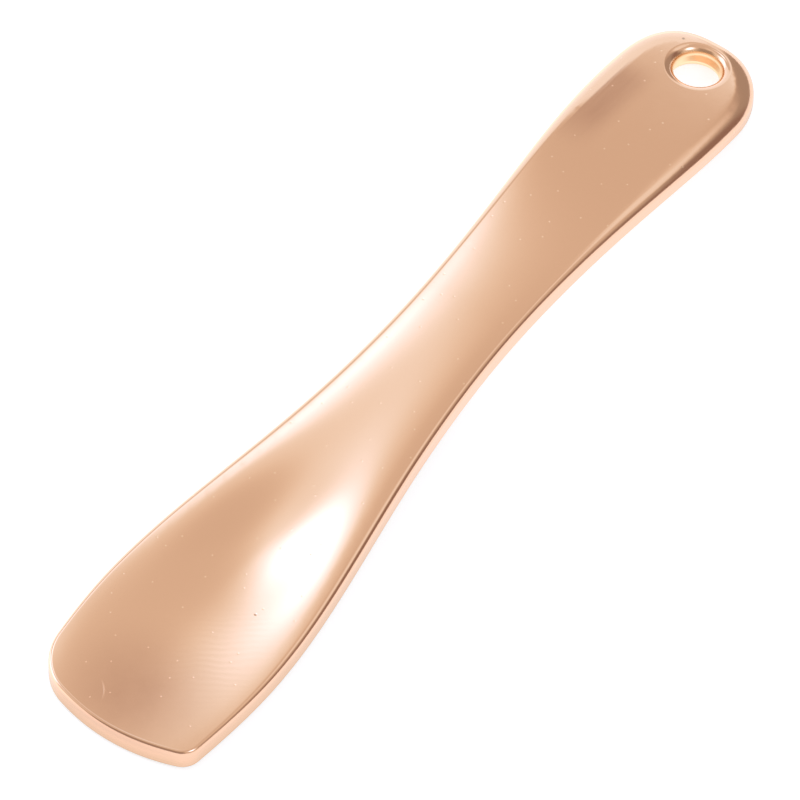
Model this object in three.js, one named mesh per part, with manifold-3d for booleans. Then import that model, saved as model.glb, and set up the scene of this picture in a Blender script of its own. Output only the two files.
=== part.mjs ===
// Cosmetic spatula: one small polished, plated piece with a shallow scoop at one end,
// a narrow waist, an arched handle, and a flat rounded head with a hanging hole.
// Millimetres. +X runs from the scoop's tip to the head, +Y to the left of the scoop,
// +Z up. The origin is on the table, under the middle of the piece.

import * as THREE from 'three';
import { mergeVertices } from 'three/addons/utils/BufferGeometryUtils.js';
import Module from 'manifold-3d';

// Lengths along the piece
const bladeLength = 36.1;         // scoop tip to the narrowest place of the waist
const handleLength = 26.1;        // waist to the end of the head
const bladeWidestFromTip = 8;
const headWidestFromEnd = 6;

// Widths across the piece
const tipWidth = 10.7;            // over the two corners, as if they were sharp
const bladeWidth = 12.25;
const waistWidth = 6.5;
const headWidth = 9.05;
const endWidth = 8.4;             // of the head's sides, carried on to its very end

// Front edge of the scoop
const frontBulge = 1.25;          // how far its middle stands before its corners
const leftCornerSetBack = 1.4;    // the corners behind the foremost point
const rightCornerSetBack = 1.1;
const leftCornerReach = 2.2;      // how far the rounding runs along both edges
const rightCornerReach = 0.75;

// Round end of the head, a quarter of a squarish oval on each side
const endRoundLength = 5.1;
const leftEndSquareness = 2.9;    // 2 is a true oval, more is squarer
const rightEndSquareness = 2.15;

// Height over the table of the side walls' upper line
const tipRim = 1.46;
const scoopRim = 1.59;
const archRim = 2.74;
const endRim = 0.8;
const bellyFromTip = 12;          // where the scoop is deepest and lies on the table
const archFromEnd = 19;           // where the handle stands highest

// Cross-section
const bladeWall = 1.27;           // height of the upright wall along the edge
const headWall = 0.85;
const tipBelly = 0.1;             // how far the underside's middle hangs below its sides
const scoopBelly = 0.34;
const tipDish = 0.02;             // how far the top face's middle lies below its sides
const scoopDish = 0.33;
const handleCrown = 0.17;         // how far the handle's middle stands over its sides
const shoulder = 0.42;            // fullness of the face beside the scoop's dish
const handleShoulder = 0.2;
const tipRollWidth = 0.2;         // rounding of the top edges
const bladeRollWidth = 0.34;
const bladeRollHeight = 0.3;
const headRollWidth = 1.25;
const headRollHeight = 0.75;
const underRoll = 0.35;           // rounding of the bottom edges

// Hanging hole
const holeDiameter = 2.9;
const holeFromEnd = 2.78;
const holeRimRadius = 0.58;

// Fineness of the surface
const stationStep = 1.55;
const frontSteps = 12;
const cornerSteps = 5;
const endSteps = 13;
const rollSteps = 4;
const faceSteps = 5;
const holeSteps = 40;
const rimSteps = 5;

const metal = { color: 0xe3b48c, roughness: 0.16, metalness: 1.0 };

const length = bladeLength + handleLength;

// A smooth curve through [place, value] stations, straight at both ends.
function smoothThrough(stations) {
  const count = stations.length;
  const gap = (i) => stations[i + 1][0] - stations[i][0];
  const slope = (i) => (stations[i + 1][1] - stations[i][1]) / gap(i);
  const share = new Array(count).fill(0);
  const bend = new Array(count).fill(0);
  for (let i = 1; i < count - 1; i += 1) {
    const pivot = 2 * (gap(i - 1) + gap(i)) - gap(i - 1) * share[i - 1];
    share[i] = gap(i) / pivot;
    bend[i] = (6 * (slope(i) - slope(i - 1)) - gap(i - 1) * bend[i - 1]) / pivot;
  }
  for (let i = count - 2; i > 0; i -= 1) {
    bend[i] -= share[i] * bend[i + 1];
  }
  return (place) => {
    let i = 0;
    while (i < count - 2 && place > stations[i + 1][0]) {
      i += 1;
    }
    const h = gap(i);
    const a = (stations[i + 1][0] - place) / h;
    const b = 1 - a;
    const bulge = ((a ** 3 - a) * bend[i] + (b ** 3 - b) * bend[i + 1]) * (h * h) / 6;
    return a * stations[i][1] + b * stations[i + 1][1] + bulge;
  };
}

// Plan: half the width at a place along the length, measured from the tip.
const headWidest = length - headWidestFromEnd;
const taperPlace = (share) => THREE.MathUtils.lerp(bladeWidestFromTip, bladeLength, share);
const taperWidth = (share) => THREE.MathUtils.lerp(waistWidth, bladeWidth, share) / 2;
const flarePlace = (share) => THREE.MathUtils.lerp(bladeLength, headWidest, share);
const flareWidth = (share) => THREE.MathUtils.lerp(waistWidth, headWidth, share) / 2;
const halfWidth = smoothThrough([
  [0, tipWidth / 2],
  [bladeWidestFromTip, bladeWidth / 2],
  [taperPlace(0.29), taperWidth(0.75)],
  [taperPlace(0.57), taperWidth(0.31)],
  [bladeLength, waistWidth / 2],
  [flarePlace(0.5), flareWidth(0.47)],
  [headWidest, headWidth / 2],
  [length, endWidth / 2],
]);

// Side view: the walls' upper line, the walls' height, and the belly under them.
const archTop = length - archFromEnd;
const risePlace = (share) => THREE.MathUtils.lerp(bellyFromTip, archTop, share);
const riseHeight = (share) => THREE.MathUtils.lerp(scoopRim, archRim, share);
const fallPlace = (share) => THREE.MathUtils.lerp(archTop, length, share);
const fallHeight = (share) => THREE.MathUtils.lerp(archRim, endRim, share);
const rimHeight = smoothThrough([
  [0, tipRim],
  [bellyFromTip, scoopRim],
  [risePlace(0.35), riseHeight(0.28)],
  [risePlace(0.62), riseHeight(0.65)],
  [archTop, archRim],
  [fallPlace(0.37), fallHeight(0.14)],
  [fallPlace(0.63), fallHeight(0.45)],
  [length, endRim],
]);
const belly = smoothThrough([
  [0, tipBelly],
  [bellyFromTip, scoopBelly],
  [risePlace(0.5), 0.3 * scoopBelly],
  [archTop, 0],
  [length, 0],
]);

// The top face across the piece: what its middle stands over its sides, and the fullness
// that it has between the two.
const middleRise = smoothThrough([
  [0, -tipDish],
  [0.45 * bellyFromTip, -0.6 * scoopDish],
  [0.85 * bellyFromTip, -0.9 * scoopDish],
  [1.3 * bellyFromTip, -scoopDish],
  [risePlace(0.33), 0.3 * handleCrown],
  [risePlace(0.52), handleCrown],
  [archTop, 0.9 * handleCrown],
  [headWidest, 0],
  [length, 0],
]);
const fullness = smoothThrough([
  [0, 0.33 * shoulder],
  [0.45 * bellyFromTip, 0.14 * shoulder],
  [0.85 * bellyFromTip, 0.34 * shoulder],
  [1.3 * bellyFromTip, 0.9 * shoulder],
  [risePlace(0.33), shoulder],
  [risePlace(0.52), 0.85 * shoulder],
  [archTop, handleShoulder],
  [headWidest, 0.15 * handleShoulder],
  [length, 0],
]);

// How much of the head's edge a place has: 0 on the blade, 1 at the head's end.
function headShare(place) {
  return THREE.MathUtils.smoothstep(place, bladeLength, length);
}
const wallHeight = (place) => THREE.MathUtils.lerp(bladeWall, headWall, headShare(place));
const rollHeight = (place) => THREE.MathUtils.lerp(bladeRollHeight, headRollHeight,
  headShare(place));
function rollWidth(place) {
  const scoopShare = THREE.MathUtils.smoothstep(place, 0, bellyFromTip);
  const width = THREE.MathUtils.lerp(tipRollWidth, bladeRollWidth, scoopShare);
  return THREE.MathUtils.lerp(width, headRollWidth, headShare(place));
}

// Rounding between two edges that meet at a corner: a bow from one point to the other
// that leaves and arrives along them, as an arc does between straight lines.
function roundCorner(start, startWay, end, endWay, steps) {
  const cross = startWay.cross(endWay);
  const run = end.clone().sub(start).cross(endWay) / cross;
  const corner = start.clone().addScaledVector(startWay, run);
  const weight = Math.sqrt((1 - startWay.dot(endWay.clone().negate())) / 2);
  const points = [];
  for (let i = 1; i < steps; i += 1) {
    const t = i / steps;
    const shares = [(1 - t) ** 2, 2 * weight * t * (1 - t), t ** 2];
    const total = shares[0] + shares[1] + shares[2];
    const point = new THREE.Vector2();
    [start, corner, end].forEach((from, k) => point.addScaledVector(from, shares[k] / total));
    points.push(point);
  }
  return points;
}

// Outline in plan, each point with the point of the middle line that it is lofted to.
// x is the place from the tip. It runs from the head's right side round the tip.
function planOutline() {
  const side = (place, hand) => new THREE.Vector2(place, hand * halfWidth(place));
  const sideWay = (place, hand) => side(place + 0.01, hand).sub(side(place - 0.01, hand))
    .normalize();

  const leftCorner = side(leftCornerSetBack, 1);
  const rightCorner = side(rightCornerSetBack, -1);
  const across = leftCorner.clone().sub(rightCorner);
  const forward = new THREE.Vector2(-across.y, across.x).normalize();
  const front = (share) => rightCorner.clone().addScaledVector(across, share)
    .addScaledVector(forward, 4 * frontBulge * share * (1 - share));
  const frontWay = (share) => front(share + 0.001).sub(front(share - 0.001)).normalize();

  const fanPlace = bladeWidth / 2;
  const headFan = length - endRoundLength;
  const tipAnchor = new THREE.Vector2(fanPlace, 0);
  const headAnchor = new THREE.Vector2(headFan, 0);
  const outline = [];
  const add = (point, anchor) => outline.push({ point, anchor });

  const stations = Math.round((headFan - fanPlace) / stationStep);
  for (let i = 0; i <= stations; i += 1) {
    const place = THREE.MathUtils.lerp(headFan, fanPlace, i / stations);
    add(side(place, -1), new THREE.Vector2(place, 0));
  }

  const rightEnd = rightCornerSetBack + rightCornerReach;
  const leftEnd = leftCornerSetBack + leftCornerReach;
  const rightShare = rightCornerReach / across.length();
  const leftShare = 1 - leftCornerReach / across.length();
  const tipStations = Math.ceil((fanPlace - rightEnd) / stationStep);
  for (let i = 1; i <= tipStations; i += 1) {
    add(side(THREE.MathUtils.lerp(fanPlace, rightEnd, i / tipStations), -1), tipAnchor);
  }
  roundCorner(side(rightEnd, -1), sideWay(rightEnd, -1).negate(), front(rightShare),
    frontWay(rightShare), cornerSteps).forEach((point) => add(point, tipAnchor));
  for (let i = 0; i <= frontSteps; i += 1) {
    add(front(THREE.MathUtils.lerp(rightShare, leftShare, i / frontSteps)), tipAnchor);
  }
  roundCorner(front(leftShare), frontWay(leftShare), side(leftEnd, 1), sideWay(leftEnd, 1),
    2 * cornerSteps).forEach((point) => add(point, tipAnchor));
  const leftStations = Math.ceil((fanPlace - leftEnd) / stationStep);
  for (let i = 0; i < leftStations; i += 1) {
    add(side(THREE.MathUtils.lerp(leftEnd, fanPlace, i / leftStations), 1), tipAnchor);
  }

  for (let i = 0; i <= stations; i += 1) {
    const place = THREE.MathUtils.lerp(fanPlace, headFan, i / stations);
    add(side(place, 1), new THREE.Vector2(place, 0));
  }

  for (let i = 1 - endSteps; i < endSteps; i += 1) {
    const turn = (1 - Math.abs(i) / endSteps) * Math.PI / 2;
    const power = 2 / (i < 0 ? leftEndSquareness : rightEndSquareness);
    const along = headFan + endRoundLength * Math.sin(turn) ** power;
    const out = halfWidth(along) * Math.cos(turn) ** power;
    add(new THREE.Vector2(along, i < 0 ? out : -out), headAnchor);
  }
  return outline;
}

// Least distance in plan from a point to the outline.
function gapToOutline(point, outline) {
  let least = Infinity;
  const nearest = new THREE.Vector3();
  const here = new THREE.Vector3(point.x, point.y, 0);
  const line = new THREE.Line3();
  outline.forEach((place, i) => {
    const next = outline[(i + 1) % outline.length].point;
    line.start.set(place.point.x, place.point.y, 0);
    line.end.set(next.x, next.y, 0);
    line.closestPointToPoint(here, true, nearest);
    least = Math.min(least, nearest.distanceTo(here));
  });
  return least;
}

// Quarter-round: 0 at the edge, 1 once the gap to it is the rounding's width.
function quarterRound(gap, width) {
  const rest = 1 - Math.min(gap / width, 1);
  return Math.sqrt(1 - rest * rest);
}

// Heights of the two faces at a point of the plan.
function bottomAt(point, gap) {
  const inward = 1 - (point.y / halfWidth(point.x)) ** 2;
  const height = rimHeight(point.x) - wallHeight(point.x) - belly(point.x) * inward;
  return Math.max(height, 0) + underRoll * (1 - quarterRound(gap, underRoll));
}
function topAt(point, gap) {
  const inward = 1 - (point.y / halfWidth(point.x)) ** 2;
  const full = fullness(point.x);
  const face = full * inward + (middleRise(point.x) - full) * inward ** 2;
  const roll = rollHeight(point.x) * quarterRound(gap, rollWidth(point.x));
  return rimHeight(point.x) + roll + face;
}

// The solid body before the hole: rings that follow the outline, from the middle line of
// the underside out to the edge, and back over the top to the middle line.
function loftBody() {
  const outline = planOutline();
  const ringsOf = (heightAt, rollWidthAt) => {
    const rings = [];
    for (let k = 0; k <= rollSteps + faceSteps; k += 1) {
      rings.push(outline.map(({ point, anchor }) => {
        const inward = anchor.clone().sub(point);
        const reach = inward.length();
        const roll = Math.min(rollWidthAt(point.x), 0.45 * reach);
        const turn = Math.min(k / rollSteps, 1) * Math.PI / 2;
        const faceShare = Math.max(k - rollSteps, 0) / faceSteps;
        const run = THREE.MathUtils.lerp(roll * (1 - Math.cos(turn)), reach, faceShare);
        const spot = point.clone().addScaledVector(inward, run / reach);
        const gap = k === 0 ? 0 : gapToOutline(spot, outline);
        return new THREE.Vector3(spot.x - length / 2, spot.y, heightAt(spot, gap));
      }));
    }
    return rings;
  };
  const bottom = ringsOf(bottomAt, () => underRoll).reverse();
  const top = ringsOf(topAt, rollWidth);
  const rings = [...bottom, ...top];

  const corners = [];
  const face = (a, b, c) => {
    if (a.distanceTo(b) > 1e-6 && b.distanceTo(c) > 1e-6 && c.distanceTo(a) > 1e-6) {
      corners.push(...a.toArray(), ...b.toArray(), ...c.toArray());
    }
  };
  for (let k = 0; k < rings.length - 1; k += 1) {
    rings[k].forEach((inner, i) => {
      const next = (i + 1) % outline.length;
      const outer = rings[k + 1];
      face(inner, outer[next], rings[k][next]);
      face(inner, outer[i], outer[next]);
    });
  }
  const geometry = new THREE.BufferGeometry();
  geometry.setAttribute('position', new THREE.Float32BufferAttribute(corners, 3));
  return mergeVertices(geometry, 1e-4);
}

// The hole's cutter: a turned plug with flared ends, which leaves rounded rims.
function holeCutter() {
  const holeRadius = holeDiameter / 2;
  const middle = new THREE.Vector2(length - holeFromEnd, 0);
  const thickness = topAt(middle, headWidth) - bottomAt(middle, headWidth);
  const behind = new THREE.Vector2(middle.x - holeRadius, 0);
  const before = new THREE.Vector2(middle.x + holeRadius, 0);
  const fall = topAt(behind, headWidth) - topAt(before, headWidth);
  const slope = Math.atan2(fall, holeDiameter);
  const clear = 2 * thickness;
  const profile = [new THREE.Vector2(0, -thickness - clear)];
  const flare = (edge, hand) => {
    const arc = [];
    for (let i = 0; i <= rimSteps; i += 1) {
      const turn = (i / rimSteps) * Math.PI / 2;
      arc.push(new THREE.Vector2(holeRadius + holeRimRadius * (1 - Math.cos(turn)),
        edge - hand * holeRimRadius * (1 - Math.sin(turn))));
    }
    return arc;
  };
  const lower = flare(-thickness, -1).reverse();
  const upper = flare(0, 1);
  profile.push(new THREE.Vector2(lower[0].x, -thickness - clear), ...lower, ...upper);
  profile.push(new THREE.Vector2(upper[rimSteps].x, clear), new THREE.Vector2(0, clear));
  const cutter = new THREE.LatheGeometry(profile, holeSteps);
  cutter.rotateX(Math.PI / 2);
  cutter.rotateY(slope);
  cutter.translate(middle.x - length / 2, 0, topAt(middle, headWidth));
  return cutter;
}

const wasm = await Module();
wasm.setup();

function toSolid(geometry) {
  const bare = geometry.clone();
  bare.deleteAttribute('normal');
  bare.deleteAttribute('uv');
  const merged = mergeVertices(bare, 1e-4);
  return new wasm.Manifold(new wasm.Mesh({
    numProp: 3,
    vertProperties: new Float32Array(merged.attributes.position.array),
    triVerts: new Uint32Array(merged.index.array),
  }));
}

function toGeometry(solid) {
  const mesh = solid.getMesh();
  const geometry = new THREE.BufferGeometry();
  geometry.setAttribute('position', new THREE.BufferAttribute(mesh.vertProperties, 3));
  geometry.setIndex(new THREE.BufferAttribute(mesh.triVerts, 1));
  geometry.computeVertexNormals();
  return geometry;
}

const body = toSolid(loftBody()).subtract(toSolid(holeCutter()));
const spatulaBody = new THREE.Mesh(toGeometry(body), new THREE.MeshStandardMaterial(metal));
spatulaBody.name = 'spatula_body';

const spatula = new THREE.Group();
spatula.add(spatulaBody);

export default spatula;
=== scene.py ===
"""Cosmetic spatula: one polished, plated piece with a shallow scoop, a narrow waist, an
arched handle and a round hanging hole. Metres. +X runs from the scoop's tip to the head,
+Y to the left of the scoop, +Z up."""

import math

import bmesh
import bpy
import numpy as np
from mathutils import Matrix, Vector
from mathutils.geometry import delaunay_2d_cdt


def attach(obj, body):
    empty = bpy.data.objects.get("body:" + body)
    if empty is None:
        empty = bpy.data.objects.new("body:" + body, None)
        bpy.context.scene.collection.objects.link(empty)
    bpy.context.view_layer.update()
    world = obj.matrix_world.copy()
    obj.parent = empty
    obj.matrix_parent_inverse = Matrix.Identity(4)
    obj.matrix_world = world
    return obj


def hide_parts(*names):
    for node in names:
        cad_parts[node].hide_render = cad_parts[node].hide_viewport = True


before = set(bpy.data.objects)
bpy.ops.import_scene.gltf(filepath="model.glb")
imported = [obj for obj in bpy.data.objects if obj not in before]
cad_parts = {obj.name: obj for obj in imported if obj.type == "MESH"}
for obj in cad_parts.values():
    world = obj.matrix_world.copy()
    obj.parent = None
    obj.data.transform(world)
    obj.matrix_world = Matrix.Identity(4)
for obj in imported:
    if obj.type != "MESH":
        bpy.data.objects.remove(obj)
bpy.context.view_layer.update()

bl_info = {
    "name": "Cosmetic spatula",
    "version": (1, 0, 0),
    "blender": (4, 5, 0),
    "location": "3D View > Sidebar > Spatula",
    "description": "Builds a small polished metal spatula with a scoop and a hanging hole",
    "category": "Add Mesh",
}

MILLIMETRE = 0.001
MICROMETRE = 1e-6


# Sizes and colours that a user would change


def length(label, text, millimetres):
    return bpy.props.FloatProperty(
        name=label, description=text, default=millimetres * MILLIMETRE,
        unit="LENGTH", precision=5,
    )


def share(label, text, value):
    return bpy.props.FloatProperty(
        name=label, description=text, default=value, subtype="FACTOR", min=0, max=1,
    )


def number(label, text, value):
    return bpy.props.FloatProperty(name=label, description=text, default=value)


def colour(label, text, value):
    return bpy.props.FloatVectorProperty(
        name=label, description=text, default=value, subtype="COLOR", min=0, max=1,
    )


def angle(label, text, degrees):
    return bpy.props.FloatProperty(
        name=label, description=text, default=math.radians(degrees), unit="ROTATION",
    )


class SpatulaShape(bpy.types.PropertyGroup):
    """Sizes of the spatula's body."""

    blade_length: length("Blade length", "Scoop tip to the narrowest place", 36.1)
    handle_length: length("Handle length", "Narrowest place to the end", 26.1)
    blade_widest: length("Blade widest", "From the tip to the widest place", 8)
    head_widest: length("Head widest", "From the end to the head's widest place", 6)
    tip_width: length("Tip width", "Over the two corners, as if sharp", 10.7)
    blade_width: length("Blade width", "At the widest place of the scoop", 12.25)
    waist_width: length("Waist width", "At the narrowest place", 6.5)
    head_width: length("Head width", "At the head's widest place", 9.05)
    end_width: length("End width", "Of the head's sides, carried on to the end", 8.4)
    front_bulge: length("Front bulge", "Middle of the front edge before its corners", 1.25)
    left_set_back: length("Left set-back", "Left corner behind the tip", 1.4)
    right_set_back: length("Right set-back", "Right corner behind the tip", 1.1)
    left_reach: length("Left corner", "How far its rounding runs along both edges", 2.2)
    right_reach: length("Right corner", "How far its rounding runs", 0.75)
    end_round: length("Round end", "Length of the head's round end", 5.1)
    left_squareness: number("Left squareness", "Of the round end; 2 is a true oval", 2.9)
    right_squareness: number("Right squareness", "The same on the other side", 2.15)

    tip_rim: length("Tip rim", "Height of the wall's upper line at the tip", 1.46)
    scoop_rim: length("Scoop rim", "Height of that line beside the belly", 1.59)
    arch_rim: length("Arch rim", "Height of that line at the arch's top", 2.74)
    end_rim: length("End rim", "Height of that line at the head's end", 0.8)
    belly_place: length("Belly", "From the tip to the lowest place of the belly", 12)
    arch_place: length("Arch", "From the end to the arch's top", 19)
    blade_wall: length("Blade wall", "Height of the side wall at the blade", 1.27)
    head_wall: length("Head wall", "Height of the side wall at the end", 0.85)
    tip_belly: length("Tip belly", "How far the underside's middle hangs", 0.1)
    scoop_belly: length("Scoop belly", "The same at the lowest place", 0.34)
    tip_dish: length("Tip dish", "How far the face's middle lies below its sides", 0.02)
    scoop_dish: length("Scoop dish", "The same in the scoop", 0.33)
    handle_crown: length("Handle crown", "How far the middle stands over its sides", 0.17)
    shoulder: length("Shoulder", "Fullness of the face beside the dish", 0.42)
    handle_shoulder: length("Handle shoulder", "Fullness beside the crown", 0.2)

    tip_roll_width: length("Tip roll width", "Rounding of the top edge at the tip", 0.2)
    blade_roll_width: length("Blade roll width", "Rounding of the top edge", 0.34)
    blade_roll_height: length("Blade roll height", "Rounding of the top edge", 0.3)
    head_roll_width: length("Head roll width", "Rounding of the head's top edge", 1.25)
    head_roll_height: length("Head roll height", "Rounding of the top edge", 0.75)
    under_roll: length("Under roll", "Rounding of the bottom edge", 0.35)

    hole_diameter: length("Hole diameter", "Inside the bore", 2.9)
    hole_from_end: length("Hole from end", "Its middle to the head's end", 2.78)
    hole_rim: length("Hole rim", "Radius of its rounded rims", 0.58)
    ring_width: length("Ring width", "Of the fine rings along the top edge", 0.5)
    top_cell: length("Top cell", "Size of the top face's triangles", 0.26)
    under_cell: length("Under cell", "Size of the underside's triangles", 0.45)


class SpatulaFinish(bpy.types.PropertyGroup):
    """Colours and small marks of the plated metal."""

    metal: colour("Metal", "Colour of the plating", (0.955, 0.645, 0.45))
    roughness: share("Roughness", "Of the polished plating", 0.07)
    ripple: length("Ripple", "Spacing of the polishing ripples", 0.42)
    speck: length("Speck", "Spacing of the tiny pits", 2.3)


class SpatulaStage(bpy.types.PropertyGroup):
    """Floor, light and camera."""

    floor: colour("Floor", "Colour of the floor", (0.62, 0.68, 0.74))
    camera_azimuth: angle("Camera azimuth", "Round the object", -54.682)
    camera_elevation: angle("Camera elevation", "Above the floor", 52.907)
    camera_lean: angle("Camera lean", "Of its upper side to its left", 0.778)
    camera_distance: length("Camera distance", "To the object", 602.92)
    lamp_azimuth: angle("Lamp azimuth", "Direction of the lamp", 145)
    lamp_elevation: angle("Lamp elevation", "Height of the lamp", 50.7)


# Shape


def smooth_through(stations):
    """A smooth curve through (place, value) stations, straight at both ends."""
    places, values = np.array(stations, float).T
    count = len(places)
    gap = np.diff(places)
    slope = np.diff(values) / gap
    matrix = np.eye(count)
    right = np.zeros(count)
    for i in range(1, count - 1):
        matrix[i, i - 1:i + 2] = gap[i - 1], 2 * (gap[i - 1] + gap[i]), gap[i]
        right[i] = 6 * (slope[i] - slope[i - 1])
    bend = np.linalg.solve(matrix, right)

    def at(place):
        i = np.clip(np.searchsorted(places, place) - 1, 0, count - 2)
        a = (places[i + 1] - place) / gap[i]
        b = 1 - a
        bulge = ((a**3 - a) * bend[i] + (b**3 - b) * bend[i + 1]) * gap[i] ** 2 / 6
        return a * values[i] + b * values[i + 1] + bulge

    return at


def blend(low, high, part):
    return low + (high - low) * part


class Form:
    """The curves that the whole shape follows, over the place from the scoop's tip.

    Each goes through stations, which are pairs of a place and the value there."""

    def __init__(self, size):
        self.size = size
        self.length = size.blade_length + size.handle_length
        waist = size.blade_length
        head = self.length - size.head_widest
        belly = size.belly_place
        arch = self.length - size.arch_place

        def taper(part, width):
            return (blend(size.blade_widest, waist, part),
                    blend(size.waist_width, size.blade_width, width) / 2)

        self.half_width = smooth_through([
            (0, size.tip_width / 2),
            (size.blade_widest, size.blade_width / 2),
            taper(0.29, 0.75),
            taper(0.57, 0.31),
            (waist, size.waist_width / 2),
            (blend(waist, head, 0.5), blend(size.waist_width, size.head_width, 0.47) / 2),
            (head, size.head_width / 2),
            (self.length, size.end_width / 2),
        ])

        def rise(part, height):
            return blend(belly, arch, part), blend(size.scoop_rim, size.arch_rim, height)

        def fall(part, height):
            return blend(arch, self.length, part), blend(size.arch_rim, size.end_rim, height)

        self.rim = smooth_through([
            (0, size.tip_rim), (belly, size.scoop_rim), rise(0.35, 0.28), rise(0.62, 0.65),
            (arch, size.arch_rim), fall(0.37, 0.14), fall(0.63, 0.45),
            (self.length, size.end_rim),
        ])
        self.belly = smooth_through([
            (0, size.tip_belly), (belly, size.scoop_belly),
            (blend(belly, arch, 0.5), 0.3 * size.scoop_belly), (arch, 0), (self.length, 0),
        ])
        self.middle = smooth_through([
            (0, -size.tip_dish), (0.45 * belly, -0.6 * size.scoop_dish),
            (0.85 * belly, -0.9 * size.scoop_dish), (1.3 * belly, -size.scoop_dish),
            (blend(belly, arch, 0.33), 0.3 * size.handle_crown),
            (blend(belly, arch, 0.52), size.handle_crown),
            (arch, 0.9 * size.handle_crown), (head, 0), (self.length, 0),
        ])
        self.fullness = smooth_through([
            (0, 0.33 * size.shoulder), (0.45 * belly, 0.14 * size.shoulder),
            (0.85 * belly, 0.34 * size.shoulder), (1.3 * belly, 0.9 * size.shoulder),
            (blend(belly, arch, 0.33), size.shoulder),
            (blend(belly, arch, 0.52), 0.85 * size.shoulder),
            (arch, size.handle_shoulder), (head, 0.15 * size.handle_shoulder),
            (self.length, 0),
        ])

    def head_share(self, place):
        """How much of the head's edge a place has: 0 on the blade, 1 at the head's end."""
        part = np.clip((place - self.size.blade_length) / self.size.handle_length, 0, 1)
        return part * part * (3 - 2 * part)

    def roll_width(self, place):
        part = np.clip(place / self.size.belly_place, 0, 1)
        width = blend(self.size.tip_roll_width, self.size.blade_roll_width,
                      part * part * (3 - 2 * part))
        return blend(width, self.size.head_roll_width, self.head_share(place))

    def wall(self, place):
        return blend(self.size.blade_wall, self.size.head_wall, self.head_share(place))

    def crest(self, place):
        """Height of the top face on the middle line."""
        roll = blend(self.size.blade_roll_height, self.size.head_roll_height,
                     self.head_share(place))
        return self.rim(place) + roll + self.middle(place)

    def keel(self, place):
        """Height of the underside on the middle line."""
        return np.maximum(self.rim(place) - self.wall(place) - self.belly(place), 0)

    def inward(self, spots):
        """0 at the sides, 1 on the middle line."""
        return 1 - (spots[:, 1] / self.half_width(spots[:, 0])) ** 2


def round_corner(start, start_way, end, end_way, steps):
    """Points of a bow between two edges, which leaves and arrives along them."""
    turn = start_way[0] * end_way[1] - start_way[1] * end_way[0]
    reach = end - start
    run = (reach[0] * end_way[1] - reach[1] * end_way[0]) / turn
    corner = start + start_way * run
    weight = math.sqrt((1 + start_way @ end_way) / 2)
    t = np.arange(1, steps)[:, None] / steps
    parts = (1 - t) ** 2, 2 * weight * t * (1 - t), t**2
    return (parts[0] * start + parts[1] * corner + parts[2] * end) / sum(parts)


def plan_outline(form):
    """The outline from above, from the head's right side round the tip and back."""
    size = form.size

    def side(place, hand):
        place = np.asarray(place, float)
        return np.stack([place, hand * form.half_width(place)], -1)

    def side_way(place, hand):
        step = side(place + 1e-6, hand) - side(place - 1e-6, hand)
        return step / np.linalg.norm(step)

    left = side(size.left_set_back, 1)
    right = side(size.right_set_back, -1)
    across = left - right
    span = np.linalg.norm(across)
    forward = np.array([-across[1], across[0]]) / span

    def front(part):
        part = np.asarray(part, float)[..., None]
        return right + across * part + forward * 4 * size.front_bulge * part * (1 - part)

    def front_way(part):
        step = front(part + 1e-4) - front(part - 1e-4)
        return step / np.linalg.norm(step)

    fan = form.length - size.end_round
    right_end = size.right_set_back + size.right_reach
    left_end = size.left_set_back + size.left_reach
    right_part = size.right_reach / span
    left_part = 1 - size.left_reach / span
    side_steps, end_steps = 230, 130
    right_steps, front_steps, left_steps = 12, 44, 22
    stretch = np.linspace(0, 1, side_steps)
    turn = np.linspace(0, math.pi, end_steps)[1:-1]
    power = 2 / np.where(np.cos(turn) > 0, size.left_squareness, size.right_squareness)
    along = fan + size.end_round * np.sin(turn) ** power
    out = form.half_width(along) * np.sign(np.cos(turn)) * np.abs(np.cos(turn)) ** power
    return np.concatenate([
        side(blend(fan, right_end, stretch), -1),
        round_corner(side(right_end, -1), -side_way(right_end, -1), front(right_part),
                     front_way(right_part), right_steps),
        front(np.linspace(right_part, left_part, front_steps)),
        round_corner(front(left_part), front_way(left_part), side(left_end, 1),
                     side_way(left_end, 1), left_steps),
        side(blend(left_end, fan, stretch), 1),
        np.stack([along, out], -1),
    ])


def inward_ways(loop):
    """Unit vectors into the shape at each point of its outline."""
    before = loop - np.roll(loop, 1, 0)
    after = np.roll(loop, -1, 0) - loop
    before_size = np.linalg.norm(before, axis=1, keepdims=True)
    after_size = np.linalg.norm(after, axis=1, keepdims=True)
    way = before / before_size * after_size + after / after_size * before_size
    way /= np.linalg.norm(way, axis=1, keepdims=True)
    return np.stack([way[:, 1], -way[:, 0]], -1)


def fitting_width(loop, width):
    """The rounding's width at each point, less where the outline turns too sharply."""
    share_of_radius, growth = 0.5, 0.35
    before = loop - np.roll(loop, 1, 0)
    after = np.roll(loop, -1, 0) - loop
    before_size = np.linalg.norm(before, axis=1)
    after_size = np.linalg.norm(after, axis=1)
    cross = before[:, 1] * after[:, 0] - before[:, 0] * after[:, 1]
    turn = np.maximum(cross / (before_size * after_size), 1e-9)
    radius = (before_size + after_size) / 2 / turn
    width = np.minimum(width, share_of_radius * radius)
    run = np.concatenate([[0], np.cumsum(after_size)])
    apart = np.abs(run[:-1, None] - run[None, :-1])
    apart = np.minimum(apart, run[-1] - apart)
    return (width[None, :] + growth * apart).min(1)


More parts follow.
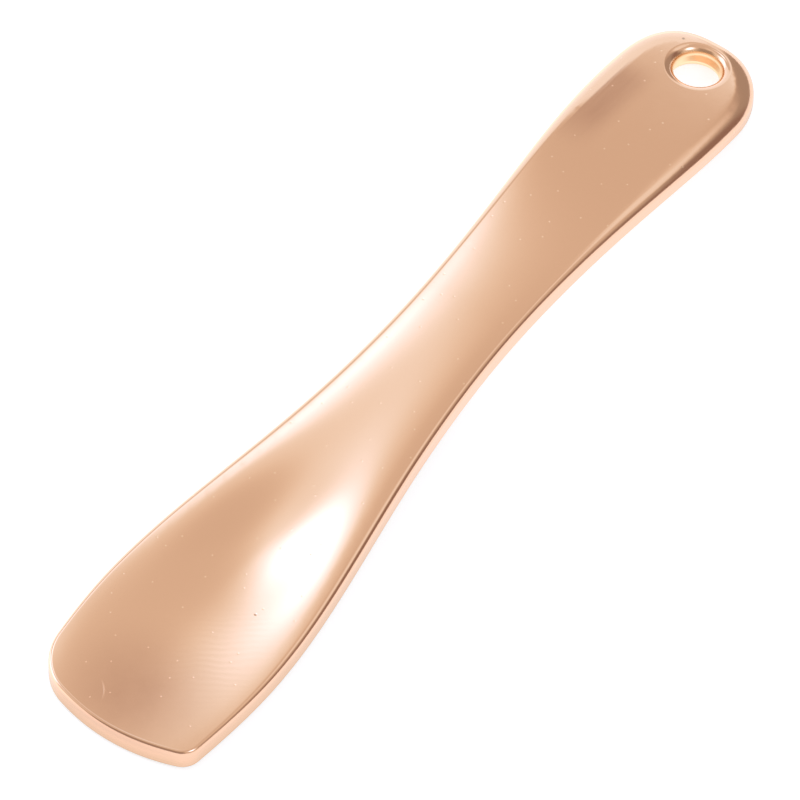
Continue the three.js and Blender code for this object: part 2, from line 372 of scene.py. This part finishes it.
def gap_to(loop, spots):
    """Each spot's distance to a closed loop, and the loop's nearest corner to it."""
    after = np.roll(loop, -1, 0)
    corner = np.zeros(len(spots), int)
    batch = 4000
    for i in range(0, len(spots), batch):
        apart = spots[i:i + batch, None] - loop[None]
        corner[i:i + batch] = (apart**2).sum(-1).argmin(1)
    gap = np.full(len(spots), np.inf)
    for k in (corner, (corner - 1) % len(loop)):
        run = after[k] - loop[k]
        part = ((spots - loop[k]) * run).sum(1) / (run**2).sum(1)
        foot = loop[k] + run * np.clip(part, 0, 1)[:, None]
        gap = np.minimum(gap, np.linalg.norm(spots - foot, axis=1))
    return gap, corner


def lies_inside(loop, spots):
    """Whether each spot lies inside a closed loop."""
    inside = np.zeros(len(spots), bool)
    for a, b in zip(loop, np.roll(loop, -1, 0)):
        if a[1] != b[1]:
            crosses = (a[1] > spots[:, 1]) != (b[1] > spots[:, 1])
            at = a[0] + (spots[:, 1] - a[1]) * (b[0] - a[0]) / (b[1] - a[1])
            inside ^= crosses & (spots[:, 0] < at)
    return inside


def fill_between(outer, inner, cell):
    """Even triangles between two loops, as spots and faces; the loops' points come first."""
    outer_clear, inner_clear = 0.6 * cell, 0.5 * cell
    inside_only, tolerance = 1, 1e-6
    low, high = outer.min(0), outer.max(0)
    row_gap = cell * math.sqrt(3) / 2
    rows = np.arange(low[1], high[1], row_gap)
    spots = []
    for k, y in enumerate(rows):
        x = np.arange(low[0] + (k % 2) * cell / 2, high[0], cell)
        spots.append(np.stack([x, np.full(len(x), y)], -1))
    spots = np.concatenate(spots)
    near, _ = gap_to(outer, spots)
    middle = inner.mean(0)
    clear = np.linalg.norm(spots - middle, axis=1)
    reach = np.linalg.norm(inner - middle, axis=1).max()
    well_in = lies_inside(outer, spots) & (near > outer_clear)
    spots = spots[well_in & (clear > reach + inner_clear)]
    points = np.concatenate([outer, inner, spots]) / MILLIMETRE
    rings = []
    for first, count in ((0, len(outer)), (len(outer), len(inner))):
        rings += [(first + i, first + (i + 1) % count) for i in range(count)]
    _, _, faces, origin, _, _ = delaunay_2d_cdt(
        [Vector(p) for p in points], rings, [], inside_only, tolerance, True)
    source = [ids[0] for ids in origin]
    faces = [tuple(source[i] for i in face) for face in faces]
    centres = points[np.array(faces)].mean(1) * MILLIMETRE
    keep = lies_inside(outer, centres) & ~lies_inside(inner, centres)
    return spots, [face for face, kept in zip(faces, keep) if kept]


class Shell:
    """Collects the flat plan of the closed body: spots, levels and gaps, then faces."""

    def __init__(self):
        self.parts = {"spot": [], "level": [], "edge_part": [], "hole_part": []}
        self.faces = []
        self.count = 0

    def add(self, spots, level, edge_part=1, hole_part=1):
        first = self.count
        self.count += len(spots)
        self.parts["spot"].append(spots)
        for name, value in (("level", level), ("edge_part", edge_part),
                            ("hole_part", hole_part)):
            self.parts[name].append(np.broadcast_to(value, len(spots)))
        return np.arange(first, self.count)

    def join(self, rings):
        for one, other in zip(rings, rings[1:]):
            self.faces += [
                (a, b, c, d)
                for a, b, c, d in zip(one, np.roll(one, -1), np.roll(other, -1), other)
            ]

    def column(self, name):
        return np.concatenate(self.parts[name])


def flat_shell(form):
    """The body laid out flat: both faces, the outer wall and the bore's wall."""
    size = form.size
    outline = plan_outline(form)
    ways = inward_ways(outline)
    roll_steps, wall_steps, hole_steps = 9, 7, 96
    turns = np.linspace(0, math.pi / 2, roll_steps + 1)
    edge_guard = 0.25 * MILLIMETRE
    hole_guard = 0.4 * edge_guard
    # Rings across a rounding, from its wall to its inner end, and two that guard that end
    reaches = [*(1 - np.cos(turns)), 1.25, 1.6]
    shell = Shell()

    top_width = fitting_width(outline, form.roll_width(outline[:, 0]))
    under_width = fitting_width(outline, size.under_roll)

    def edge_part(spots, width):
        gap, corner = gap_to(outline, spots)
        return np.minimum(gap / width[corner], 1)

    def ring(width, reach, level):
        gap = np.minimum(width, size.ring_width) * min(reach, 1)
        gap = gap + np.minimum(width, edge_guard) * max(reach - 1, 0)
        return shell.add(outline + ways * gap[:, None], level, np.minimum(gap / width, 1))

    outer = [ring(top_width, r, 1) for r in reaches[::-1]]
    outer += [ring(top_width, 0, 1 - k / wall_steps) for k in range(1, wall_steps)]
    outer += [ring(under_width, r, 0) for r in reaches]

    hole_place = form.length - size.hole_from_end
    hole_radius = size.hole_diameter / 2
    fall = form.crest(hole_place - hole_radius) - form.crest(hole_place + hole_radius)
    slope = math.atan2(fall, size.hole_diameter)
    lean = math.sin(slope) * (form.crest(hole_place) - form.keel(hole_place))
    spin = np.linspace(0, 2 * math.pi, hole_steps, endpoint=False)
    circle = np.stack([np.cos(spin), np.sin(spin)], -1)

    def hole_ring(reach, level):
        middle = np.array([hole_place - lean * (1 - level), 0])
        radius = hole_radius + size.hole_rim * min(reach, 1)
        radius += hole_guard * max(reach - 1, 0)
        spots = middle + circle * radius
        return shell.add(spots, level, edge_part(spots, top_width), min(reach, 1))

    bore = [hole_ring(r, 1) for r in reaches[::-1]]
    bore += [hole_ring(0, 1 - k / wall_steps) for k in range(1, wall_steps)]
    bore += [hole_ring(r, 0) for r in reaches]

    shell.join(outer)
    shell.join(bore)
    for level, rim, hole, cell, width in (
            (1, outer[0], bore[0], size.top_cell, top_width),
            (0, outer[-1], bore[-1], size.under_cell, under_width)):
        spots = shell.column("spot")
        inner_spots, faces = fill_between(spots[rim], spots[hole], cell)
        filled = shell.add(inner_spots, level, edge_part(inner_spots, width))
        ids = np.concatenate([rim, hole, filled])
        shell.faces += [tuple(ids[i] for i in face) for face in faces]
    return shell


def flat_mesh(form):
    """The flat shell as a mesh, with what the form tree needs as attributes."""
    shell = flat_shell(form)
    spots = shell.column("spot")
    place = spots[:, 0]
    mesh = bpy.data.meshes.new("spatula_plan")
    points = np.stack([place - form.length / 2, spots[:, 1], np.zeros(len(spots))], -1)
    mesh.from_pydata(points.tolist(), [], [tuple(map(int, face)) for face in shell.faces])
    values = {
        "level": shell.column("level"),
        "edge_part": shell.column("edge_part"),
        "hole_part": shell.column("hole_part"),
        "head_share": form.head_share(place),
        "inward": form.inward(spots),
        "rim": form.rim(place),
        "wall": form.wall(place),
        "belly": form.belly(place),
        "middle": form.middle(place),
        "fullness": form.fullness(place),
    }
    for name, value in values.items():
        attribute = mesh.attributes.new(name, "FLOAT", "POINT")
        attribute.data.foreach_set("value", np.asarray(value, np.float32))
    return mesh


# Node trees


class Value:
    """A number in a node tree. Arithmetic on it adds Math nodes."""

    def __init__(self, maker, socket):
        self.maker = maker
        self.socket = socket

    def _math(self, operation, *values):
        return self.maker.add("ShaderNodeMath", {"operation": operation}, *values)

    def __add__(self, other):
        return self._math("ADD", self, other)

    def __radd__(self, other):
        return self._math("ADD", other, self)

    def __sub__(self, other):
        return self._math("SUBTRACT", self, other)

    def __rsub__(self, other):
        return self._math("SUBTRACT", other, self)

    def __mul__(self, other):
        return self._math("MULTIPLY", self, other)

    def __rmul__(self, other):
        return self._math("MULTIPLY", other, self)

    def __truediv__(self, other):
        return self._math("DIVIDE", self, other)

    def __rtruediv__(self, other):
        return self._math("DIVIDE", other, self)

    def __neg__(self):
        return self._math("MULTIPLY", self, -1.0)

    def at_most(self, other):
        return self._math("MINIMUM", self, other)

    def at_least(self, other):
        return self._math("MAXIMUM", self, other)

    def root(self):
        return self._math("SQRT", self)

    def exp(self):
        return self._math("EXPONENT", self)

    def sine(self):
        return self._math("SINE", self)

    def arcsine(self):
        return self._math("ARCSINE", self)

    def turn_from(self, other):
        """Angle of a point that lies this far to the side and that far ahead."""
        return self._math("ARCTAN2", self, other)

    def blend(self, low, high):
        return low + (high - low) * self

    def step(self, low, high):
        """0 below low, 1 over high, smooth between them."""
        return self.maker.add(
            "ShaderNodeMapRange", {"interpolation_type": "SMOOTHSTEP"},
            self, low, high, 0.0, 1.0)


class Maker:
    """Adds nodes to one tree and links them."""

    def __init__(self, tree):
        self.tree = tree

    def node(self, kind, settings=None, *values, **named):
        node = self.tree.nodes.new(kind)
        for key, value in (settings or {}).items():
            setattr(node, key, value)
        pairs = [(node.inputs[i], value) for i, value in enumerate(values)]
        pairs += [(node.inputs[name.replace("_", " ")], v) for name, v in named.items()]
        for socket, value in pairs:
            if isinstance(value, Value):
                self.tree.links.new(value.socket, socket)
            elif value is not None:
                socket.default_value = value
        return node

    def add(self, kind, settings=None, *values, output=0, **named):
        node = self.node(kind, settings, *values, **named)
        return Value(self, node.outputs[output])


def form_tree():
    """Geometry Nodes: raises the flat plan to the body, rolls its edges, sets the metal."""
    tree = bpy.data.node_groups.new("spatula_form", "GeometryNodeTree")
    face = tree.interface
    face.new_socket("Plan", in_out="INPUT", socket_type="NodeSocketGeometry")
    names = ("Blade roll height", "Head roll height", "Under roll", "Hole rim")
    for name in names:
        face.new_socket(name, in_out="INPUT", socket_type="NodeSocketFloat")
    face.new_socket("Metal", in_out="INPUT", socket_type="NodeSocketMaterial")
    face.new_socket("Body", in_out="OUTPUT", socket_type="NodeSocketGeometry")
    make = Maker(tree)
    entry = make.node("NodeGroupInput")

    def given(name):
        return Value(make, entry.outputs[name])

    def stored(name):
        return make.add("GeometryNodeInputNamedAttribute", {"data_type": "FLOAT"}, name)

    def quarter_round(part):
        rest = 1 - part
        return (1 - rest * rest).at_least(0.0).root()

    head = stored("head_share")
    inward = stored("inward")
    edge_round = quarter_round(stored("edge_part"))
    rim = stored("rim")
    full = stored("fullness")
    under = given("Under roll")
    hole_drop = given("Hole rim") * (1 - quarter_round(stored("hole_part")))
    roll_height = head.blend(given("Blade roll height"), given("Head roll height"))
    crown = full * inward + (stored("middle") - full) * inward * inward
    top = rim + roll_height * edge_round + crown - hole_drop
    bottom = (rim - stored("wall") - stored("belly") * inward).at_least(0.0)
    bottom = bottom + under * (1 - edge_round) + hole_drop
    height = stored("level").blend(bottom, top)

    lift = make.add("ShaderNodeCombineXYZ", None, 0.0, 0.0, height)
    raised = make.add("GeometryNodeSetPosition", None, given("Plan"), Offset=lift)
    smooth = make.add("GeometryNodeSetShadeSmooth", None, raised)
    whole = make.add("GeometryNodeRealizeInstances", None, smooth)
    dressed = make.add("GeometryNodeSetMaterial", None, whole, Material=given("Metal"))
    make.node("NodeGroupOutput", None, dressed)
    return tree


class MetalPlace:
    """Where a point of the metal lies, and the patterns that its marks are made of.

    All places, radii and spacings are in millimetres, from the object's middle."""

    def __init__(self, make):
        self.make = make
        self.way = make.add("ShaderNodeTexCoord", output=3)
        parts = make.node("ShaderNodeSeparateXYZ", None, self.way)
        self.x = Value(make, parts.outputs[0]) / MILLIMETRE
        self.y = Value(make, parts.outputs[1]) / MILLIMETRE

    def stored(self, name):
        return self.make.add("ShaderNodeAttribute", {"attribute_name": name}, output=2)

    def gap(self, along, across):
        """Distance from a place on the plan."""
        ahead, aside = self.x - along, self.y - across
        return (ahead * ahead + aside * aside).root()

    def patch(self, along, across, radius):
        """1 in the middle of a round patch, falling to 0 at its edge."""
        return self.gap(along, across).step(radius, 0.0)

    def noise(self, spacing, detail):
        """Cloudy noise from 0 to 1."""
        return self.make.add("ShaderNodeTexNoise", None, Vector=self.way,
                             Scale=1 / (spacing * MILLIMETRE), Detail=detail)

    def streaks(self, per_millimetre, along_share, detail):
        """The same, drawn out along the piece."""
        drawn = self.make.add("ShaderNodeCombineXYZ", None, self.x * along_share, self.y, 0.0)
        return self.make.add("ShaderNodeTexNoise", None, Vector=drawn, Scale=per_millimetre,
                             Detail=detail)

    def specks(self, spacing, radius):
        """Tiny round spots, 1 in their middle."""
        apart = self.make.add("ShaderNodeTexVoronoi", {"voronoi_dimensions": "2D"},
                              Vector=self.way, Scale=1 / (spacing * MILLIMETRE))
        return apart.step(radius / spacing, 0.0)


def plated_metal(finish, hole_place):
    """Polished rose-gold plating with the faint marks of polishing and of use, and painted
    light: a dark reflection beside the head's left roll, glints on the pits and a more golden
    bore.
    """
    material = bpy.data.materials.new("plated_metal")
    material.use_nodes = True
    tree = material.node_tree
    tree.nodes.clear()
    make = Maker(tree)
    metal = MetalPlace(make)
    x, y, noise, patch = metal.x, metal.y, metal.noise, metal.patch

    # Round patches on the plan: along, across, radius
    rippled_part = -23.5, -2.5, 6.0
    darker_tip = -28.2, -0.6, 6.0
    scratched_part = -29.0, 1.1, 1.0
    scoop_spot = -19.76, -2.6, 0.12
    head_spot = 29.69, 1.99, 0.15
    scratch_middle, scratch_radius = (-30.2, 2.6), 1.75
    speck_gap = finish.speck / MILLIMETRE
    fine_speck_gap = speck_gap / 2.3
    ripple_gap = finish.ripple / MILLIMETRE
    ripple_ahead, ripple_aside = 0.816, 0.578

    edge = metal.stored("edge_part")
    on_top = metal.stored("level").step(0.5, 1.0)
    bore = metal.gap(hole_place / MILLIMETRE, 0.0).step(1.75, 1.5)
    hairs = metal.streaks(2.6, 0.1, 3.0)
    sweep = (x * ripple_ahead + y * ripple_aside) / ripple_gap + 2.6 * noise(2.8, 2.0)
    ripples = (sweep * math.tau).sine() * patch(*rippled_part) * noise(1.5, 1.0)
    # The band beside the head's left roll: stronger hairline bumps, and a painted dark
    # reflection darkens its colour
    beside_roll = y.step(0.8, 2.6) * x.step(17.5, 21.5) * x.step(26.8, 24.2)
    dents = noise(0.5, 3.0) * (1 - edge)
    waves = noise(2.2, 3.0)
    grain = noise(0.12, 2.0)
    glinting_pits = on_top * metal.specks(speck_gap, 0.085)
    fine_glinting_pits = on_top * metal.specks(fine_speck_gap, 0.035)
    off_scratch = metal.gap(*scratch_middle) - scratch_radius
    scratch = (off_scratch * off_scratch).step(0.004, 0.0) * patch(*scratched_part)
    dark_spots = (patch(*scoop_spot) + patch(*head_spot)).at_most(1.0)
    # Darker and a little redder towards the tip
    darkening_and_painted_reflection = patch(*darker_tip) * (0.75 + 0.5 * noise(1.6, 3.0))
    # Painted dark reflection in the band beside the head's left roll
    darkening_and_painted_reflection = darkening_and_painted_reflection + beside_roll * edge.step(0.92, 1.0) * (0.75 + 0.6 * hairs)

    # Heights of the marks, in micrometres
    height = 0.35 * ripples + 5.0 * dents + waves + 0.16 * grain
    height = height + (0.15 + 2.2 * beside_roll) * hairs
    height = height - 2.0 * glinting_pits + on_top * (2.0 * scratch - 4.0 * dark_spots)
    bump = make.add("ShaderNodeBump", None, Distance=MICROMETRE, Height=height)

    # Marks darken or lighten the metal: the tip is darker, a painted dark reflection lies
    # beside the head's left roll, pits are lightened as painted glints, and the bore is a
    # little more golden as a painted reflection
    tone = 1 - on_top * (0.22 * darkening_and_painted_reflection + 0.5 * dark_spots)
    # Pits are real dents, and their lighter colour is a painted glint
    tone = tone + 0.22 * glinting_pits + 0.12 * scratch + 0.1 * fine_glinting_pits
    red, green, blue = finish.metal
    # The bore is tinted more golden: a painted reflection of the light bouncing inside it
    plating = make.add("ShaderNodeCombineXYZ", None, red * (tone + 0.04 * darkening_and_painted_reflection),
                       green * (tone + 0.04 * bore), blue * (tone - 0.05 * bore))
    dullness = finish.roughness + 0.03 * noise(1.1, 3.0) + 0.2 * glinting_pits + 0.15 * scratch
    dullness = dullness + 0.11 * (1 - edge) + 0.2 * bore
    shader = make.add("ShaderNodeBsdfPrincipled", None, Base_Color=plating, Metallic=1.0,
                      Roughness=dullness, Normal=bump)
    make.node("ShaderNodeOutputMaterial", None, shader)
    return material


def hole_ahead(shape):
    """How far the hanging hole's middle lies ahead of the object's middle."""
    return (shape.blade_length + shape.handle_length) / 2 - shape.hole_from_end


def raise_body(plan, shape, metal):
    """Runs the form tree on the flat plan and returns the body as a plain mesh."""
    tree = form_tree()
    modifier = plan.modifiers.new("form", "NODES")
    modifier.node_group = tree
    sockets = {s.name: s.identifier for s in tree.interface.items_tree
               if s.in_out == "INPUT"}
    given = {
        "Blade roll height": shape.blade_roll_height,
        "Head roll height": shape.head_roll_height,
        "Under roll": shape.under_roll,
        "Hole rim": shape.hole_rim,
        "Metal": metal,
    }
    for name, value in given.items():
        modifier[sockets[name]] = value
    graph = bpy.context.evaluated_depsgraph_get()
    mesh = bpy.data.meshes.new_from_object(plan.evaluated_get(graph))
    if len(mesh.polygons) == 0:
        raise RuntimeError("the form tree gave no faces")
    return mesh


def make_body(shape, finish):
    """Builds the spatula's one piece and hands it to the frame."""
    metal = plated_metal(finish, hole_ahead(shape))
    plan = bpy.data.objects.new("spatula_plan", flat_mesh(Form(shape)))
    bpy.context.scene.collection.objects.link(plan)
    mesh = raise_body(plan, shape, metal)
    bpy.data.objects.remove(plan)
    # The metal reads edge_part and level, and nothing reads the others any more
    for name in ("hole_part", "head_share", "inward", "rim", "wall", "belly",
                 "middle", "fullness"):
        mesh.attributes.remove(mesh.attributes[name])
    work = bmesh.new()
    work.from_mesh(mesh)
    bmesh.ops.recalc_face_normals(work, faces=work.faces)
    work.to_mesh(mesh)
    work.free()
    mesh.name = "spatula_metal"
    body = bpy.data.objects.new("spatula_metal", mesh)
    bpy.context.scene.collection.objects.link(body)
    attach(body, "root")
    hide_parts("spatula_body")


# Stage


def direction(azimuth, elevation):
    """Unit vector towards a place in the studio. Azimuth 0 is -Y and 90 is +X."""
    return Vector((
        math.sin(azimuth) * math.cos(elevation),
        -math.cos(azimuth) * math.cos(elevation),
        math.sin(elevation),
    ))


def place_camera(stage):
    data = bpy.data.cameras.new("camera")
    data.sensor_width = 36
    data.lens = 464.4
    data.shift_x = 0.0009
    data.shift_y = -0.001
    data.clip_start = 0.05
    camera = bpy.data.objects.new("camera", data)
    bpy.context.scene.collection.objects.link(camera)
    target = Vector((-2.094, 0, 1.338)) * MILLIMETRE
    back = direction(stage.camera_azimuth, stage.camera_elevation)
    right = Vector((0, 0, 1)).cross(back).normalized()
    up = back.cross(right) * math.cos(stage.camera_lean) - right * math.sin(stage.camera_lean)
    right = up.cross(back)
    camera.location = target + back * stage.camera_distance
    camera.rotation_euler = Matrix((right, up, back)).transposed().to_euler()
    bpy.context.scene.camera = camera


def lay_floor(stage, under_hole):
    """A pale floor that the camera and the metal see as white, with the soft shadow kept.

    The metal sees it as a glow instead, with painted light on the far side and under the
    hanging hole, and painted shade where the piece stands over it."""
    half_side = 1.5
    drop = -1e-5
    shade_reach = 1.3 * MILLIMETRE
    cool_white, camera_glow = (0.96, 1, 1.02, 1), 0.66
    mesh = bpy.data.meshes.new("floor")
    corners = [(x * half_side, y * half_side, drop)
               for x, y in ((-1, -1), (1, -1), (1, 1), (-1, 1))]
    mesh.from_pydata(corners, [], [(0, 1, 2, 3)])
    floor = bpy.data.objects.new("floor", mesh)
    bpy.context.scene.collection.objects.link(floor)
    material = bpy.data.materials.new("floor")
    material.use_nodes = True
    tree = material.node_tree
    tree.nodes.clear()
    make = Maker(tree)
    ray = make.node("ShaderNodeLightPath")
    plain = make.add("ShaderNodeBsdfDiffuse", None, (*stage.floor, 1))
    glow = make.add("ShaderNodeEmission", None, cool_white, camera_glow)
    lit = make.add("ShaderNodeAddShader", None, plain, glow)
    parts = make.node("ShaderNodeSeparateXYZ", None,
                      make.add("ShaderNodeTexCoord", output=3))
    ahead = Value(make, parts.outputs[0]) / MILLIMETRE - under_hole / MILLIMETRE
    aside = Value(make, parts.outputs[1]) / MILLIMETRE
    painted_light_under_hole = (ahead * ahead + aside * aside).root().step(4.5, 1.0)
    painted_light_far_side = aside.step(3.0, 8.0)
    open_part = make.add("ShaderNodeAmbientOcclusion", None, output=1,
                         Distance=shade_reach)
    # The metal sees the floor as a glow: painted shade, dimmer and warmer where the piece
    # stands over it, and painted light on the far side and under the hanging hole
    strength = 0.42 + 0.66 * open_part + 0.45 * painted_light_under_hole + 0.28 * painted_light_far_side
    tint = make.add("ShaderNodeCombineXYZ", None, 1.05, 1.0, 0.84 + 0.2 * open_part)
    mirrored = make.add("ShaderNodeEmission", None, tint, strength)
    to_camera = Value(make, ray.outputs["Is Camera Ray"])
    to_metal = Value(make, ray.outputs["Is Glossy Ray"])
    seen = make.add("ShaderNodeMixShader", None, to_camera, plain, lit)
    mixed = make.add("ShaderNodeMixShader", None, to_metal, seen, mirrored)
    make.node("ShaderNodeOutputMaterial", None, mixed)
    mesh.materials.append(material)


# Zones of the studio. Each gives its part of a direction, from 0 to 1, and its level
# there. Their angles are in degrees.


def dark_screen(azimuth, elevation):
    """A dark screen beside the white one, softer at the end away from it."""
    top = 40 - 2.5 * azimuth.step(72.0, 90.0) - 9 * azimuth.step(48.0, 32.0)
    blur = azimuth.step(34.0, 52.0).blend(16.0, 7.0)
    part = elevation.step(top + blur, top - blur) * azimuth.step(8.0, 26.0)
    part = part * azimuth.step(112.0, 104.0)
    return part, 0.19 + 0.15 * azimuth.step(50.0, 75.0)


def camera_side(azimuth, elevation):
    """The dim part of the room round the camera."""
    part = azimuth.step(-128.0, -112.0) * azimuth.step(-38.0, -52.0)
    return part * elevation.step(66.0, 52.0), 0.32


def white_screen(azimuth, elevation):
    """A large white screen, lighter towards its foot."""
    top = 36.8 + 1.9 * azimuth.step(116.3, 119.0) - 4.5 * azimuth.step(120.0, 132.0)
    top = top - 3.5 * azimuth.step(132.0, 145.0)
    part = azimuth.step(106.0, 114.0) * elevation.step(top + 0.8, top - 1.2)
    level = 1.0 + 0.13 * elevation.step(30.0, 8.0)
    return part, level + 0.15 * elevation.step(5.0, -8.0)


def bright_wall(azimuth, elevation):
    """A brightly lit wall between the white screen and the camera's side."""
    part = azimuth.step(-140.0, -152.0) + azimuth.step(166.0, 176.0)
    return part * elevation.step(54.0, 42.0), 1.7


def light_studio(stage):
    """The studio round the object: a pale room with a light strip, the four zones and a
    few soft lamps."""
    world = bpy.data.worlds.new("studio")
    bpy.context.scene.world = world
    world.use_nodes = True
    tree = world.node_tree
    tree.nodes.clear()
    make = Maker(tree)
    way = make.add("ShaderNodeTexCoord", output=0)
    parts = make.node("ShaderNodeSeparateXYZ", None, way)
    x, y, z = (Value(make, socket) for socket in parts.outputs)
    azimuth = x.turn_from(-y) * math.degrees(1)
    elevation = z.arcsine() * math.degrees(1)

    def glow(lamp_azimuth, lamp_elevation, sharpness, strength):
        """A soft round lamp, the smaller the sharper."""
        facing = tuple(direction(lamp_azimuth, lamp_elevation))
        near = make.add("ShaderNodeVectorMath", {"operation": "DOT_PRODUCT"}, way, facing,
                        output=1)
        return (sharpness * (near - 1)).exp() * strength

    room_level = 0.59
    strip = azimuth.step(42.0, 58.0) * elevation.step(41.0, 46.0) * elevation.step(64.0, 60.0)
    strip = strip * (0.3 - 0.3 * azimuth.step(82.0, 118.0))
    open_side = 0.15 * azimuth.step(-60.0, -120.0) * azimuth.step(-180.0, -150.0)
    level = room_level + strip + open_side
    for zone in (dark_screen, camera_side, white_screen, bright_wall):
        part, zone_level = zone(azimuth, elevation)
        level = part.blend(level, zone_level)
    lamp = stage.lamp_azimuth, stage.lamp_elevation
    over_lamp = math.radians(134.6), math.radians(55.0)
    high_lamp = math.radians(135.2), math.radians(61.9)
    near_lamp = math.radians(-7), math.radians(44)
    level = level + glow(*lamp, 158.0, 1.3) + glow(*lamp, 500.0, 0.5)
    level = level + glow(*over_lamp, 535.0, 0.26)
    level = level + glow(*high_lamp, 178.0, 0.32)
    level = level + glow(*near_lamp, 60.0, 3.0)
    # The dim parts of the room are warm, and the bright ones nearly white
    red = 1.22 - 0.3 * level.step(0.4, 1.2) + 0.35 * level.step(0.35, 0.12)
    blue = 0.87 + 0.45 * level.step(0.5, 1.6)
    light = make.add("ShaderNodeCombineXYZ", None, level * red, level, level * blue)
    back = make.add("ShaderNodeBackground", None, light)
    make.node("ShaderNodeOutputWorld", None, back)


# Operators and panel


class SPATULA_OT_body(bpy.types.Operator):
    """Build the spatula's polished body"""

    bl_idname = "spatula.make_body"
    bl_label = "Make body"

    def execute(self, context):
        make_body(context.scene.spatula_shape, context.scene.spatula_finish)
        return {"FINISHED"}


class SPATULA_OT_stage(bpy.types.Operator):
    """Set the floor, the studio light and the camera"""

    bl_idname = "spatula.set_stage"
    bl_label = "Set stage"

    def execute(self, context):
        stage = context.scene.spatula_stage
        place_camera(stage)
        lay_floor(stage, hole_ahead(context.scene.spatula_shape))
        light_studio(stage)
        context.scene.view_settings.view_transform = "Standard"
        return {"FINISHED"}


class SPATULA_PT_panel(bpy.types.Panel):
    """Lists the sizes, the finish and the buttons"""

    bl_label = "Cosmetic spatula"
    bl_space_type = "VIEW_3D"
    bl_region_type = "UI"
    bl_category = "Spatula"

    def draw(self, context):
        scene = context.scene
        for group in (scene.spatula_shape, scene.spatula_finish, scene.spatula_stage):
            box = self.layout.box()
            for name in group.__annotations__:
                box.prop(group, name)
        self.layout.operator(SPATULA_OT_body.bl_idname)
        self.layout.operator(SPATULA_OT_stage.bl_idname)


CLASSES = (
    SpatulaShape,
    SpatulaFinish,
    SpatulaStage,
    SPATULA_OT_body,
    SPATULA_OT_stage,
    SPATULA_PT_panel,
)


def register():
    for cls in CLASSES:
        bpy.utils.register_class(cls)
    scene = bpy.types.Scene
    scene.spatula_shape = bpy.props.PointerProperty(type=SpatulaShape)
    scene.spatula_finish = bpy.props.PointerProperty(type=SpatulaFinish)
    scene.spatula_stage = bpy.props.PointerProperty(type=SpatulaStage)


def unregister():
    scene = bpy.types.Scene
    del scene.spatula_shape, scene.spatula_finish, scene.spatula_stage
    for cls in reversed(CLASSES):
        bpy.utils.unregister_class(cls)


def main():
    register()
    bpy.ops.spatula.set_stage()
    bpy.ops.spatula.make_body()


if __name__ == "__main__":
    main()
